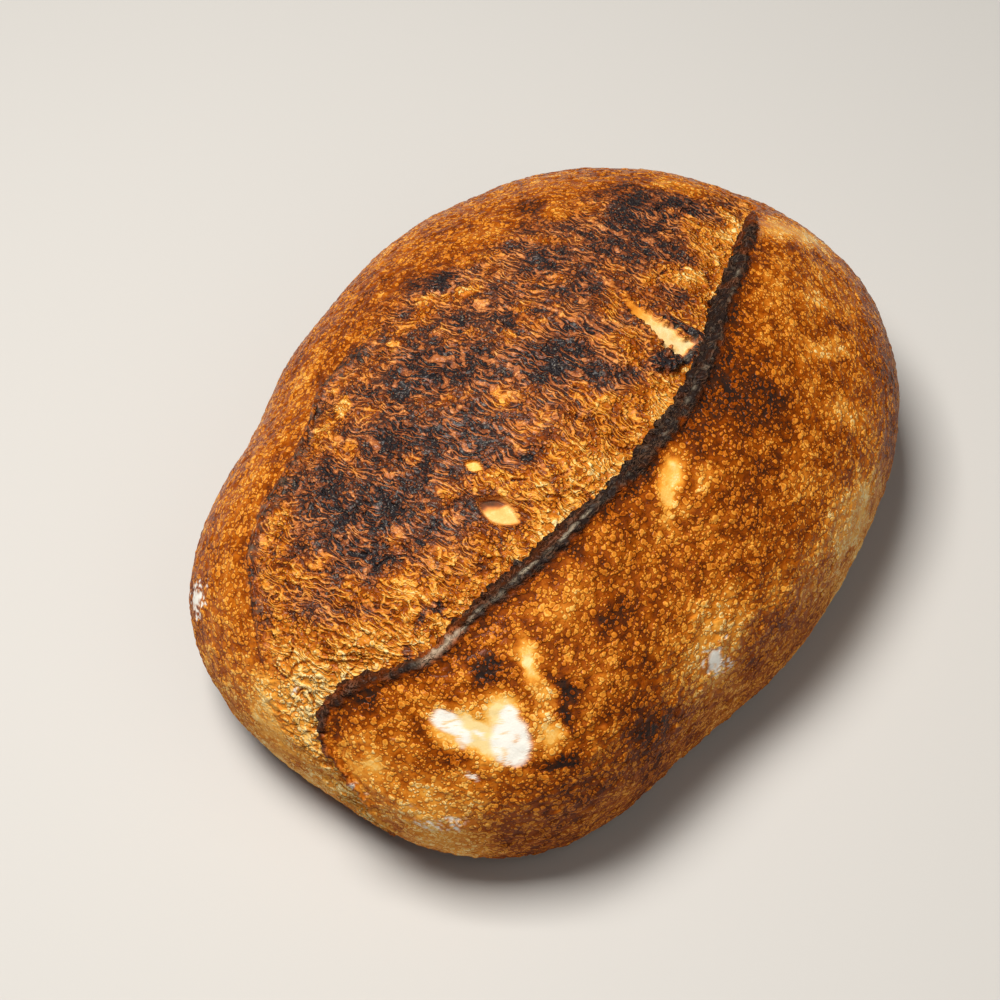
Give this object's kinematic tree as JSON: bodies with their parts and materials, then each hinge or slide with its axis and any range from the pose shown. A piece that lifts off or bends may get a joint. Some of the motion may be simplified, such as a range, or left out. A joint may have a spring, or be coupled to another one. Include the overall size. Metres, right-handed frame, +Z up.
{
  "type": "sourdough loaf",
  "caption": "Whole rustic sourdough loaf: a flat-based oval dome with one long slash, a raised burnt ear, a torn craggy bloom and a blistered crust.",
  "frame": {"origin": "centre of the loaf's outline at table height, in the plane of its flat base", "axes": "+X along the loaf's long axis towards the tip where the slash starts, +Y across it towards the torn bloom, +Z up"},
  "size_m": [0.2624, 0.1948, 0.1045],
  "materials": {
    "crust": "baked bread crust, blistered and scorched, with flour left on it in places; satin where browned and matt where floured"
  },
  "bodies": {
    "root": {"loaf": "crust"}
  },
  "joints": []
}
